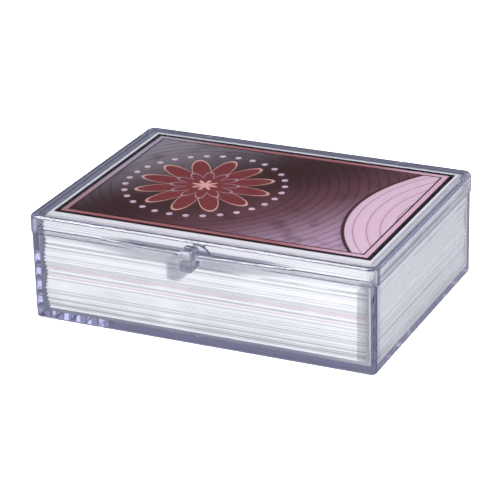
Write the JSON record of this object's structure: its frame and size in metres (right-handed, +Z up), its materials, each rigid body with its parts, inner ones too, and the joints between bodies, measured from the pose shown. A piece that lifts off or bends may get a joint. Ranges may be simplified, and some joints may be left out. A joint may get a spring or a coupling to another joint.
{
  "type": "card storage case",
  "caption": "Clear plastic card storage case with a snap-hinged lid, crescent thumb ledge and pull tab, shut on a full stack of printed cards.",
  "frame": {"origin": "centre of the tray's flat underside, on the table", "axes": "+X along the long front edge to the right, +Y from the catch to the hinges, +Z up"},
  "size_m": [0.0952, 0.0783, 0.0286],
  "materials": {
    "clear_tray": "clear moulded polystyrene, gloss",
    "clear_lid": "clear moulded polystyrene, gloss",
    "card_stock": "white card, cut edges",
    "printed_card": "coated card, printed"
  },
  "bodies": {
    "case_base": {"base_tray": "clear_tray", "card_pair_01": "card_stock", "card_pair_02": "card_stock", "card_pair_03": "card_stock", "card_pair_04": "card_stock", "card_pair_05": "card_stock", "card_pair_06": "card_stock", "card_pair_07": "card_stock", "card_pair_08": "card_stock", "card_pair_09": "card_stock", "card_pair_10": "card_stock", "card_pair_11": "card_stock", "card_pair_12": "card_stock", "card_pair_13": "card_stock", "card_pair_14": "card_stock", "card_pair_15": "card_stock", "card_pair_16": "card_stock", "card_pair_17": "card_stock", "card_pair_18": "card_stock", "card_pair_19": "card_stock", "card_pair_20": "card_stock", "card_pair_21": "card_stock", "card_pair_22": "card_stock", "card_pair_23": "card_stock", "card_pair_24": "card_stock", "card_pair_25": "card_stock", "card_pair_26": "card_stock", "card_pair_27": "card_stock", "card_pair_28": "card_stock", "card_pair_29": "card_stock", "card_pair_30": "card_stock", "card_pair_31": "card_stock", "card_pair_32": "card_stock", "card_pair_33": "card_stock", "card_pair_34": "card_stock", "card_pair_35": "card_stock", "card_pair_36": "card_stock", "card_pair_37": "card_stock", "display_card": "printed_card"},
    "lid": {"hinged_lid": "clear_lid"}
  },
  "joints": [
    {"name": "lid_hinge", "type": "hinge", "parent": "case_base", "child": "lid", "pos_m": [0, 0.03673, 0.02182], "axis": [-1, 0, 0], "range_deg": [0, 180]}
  ]
}
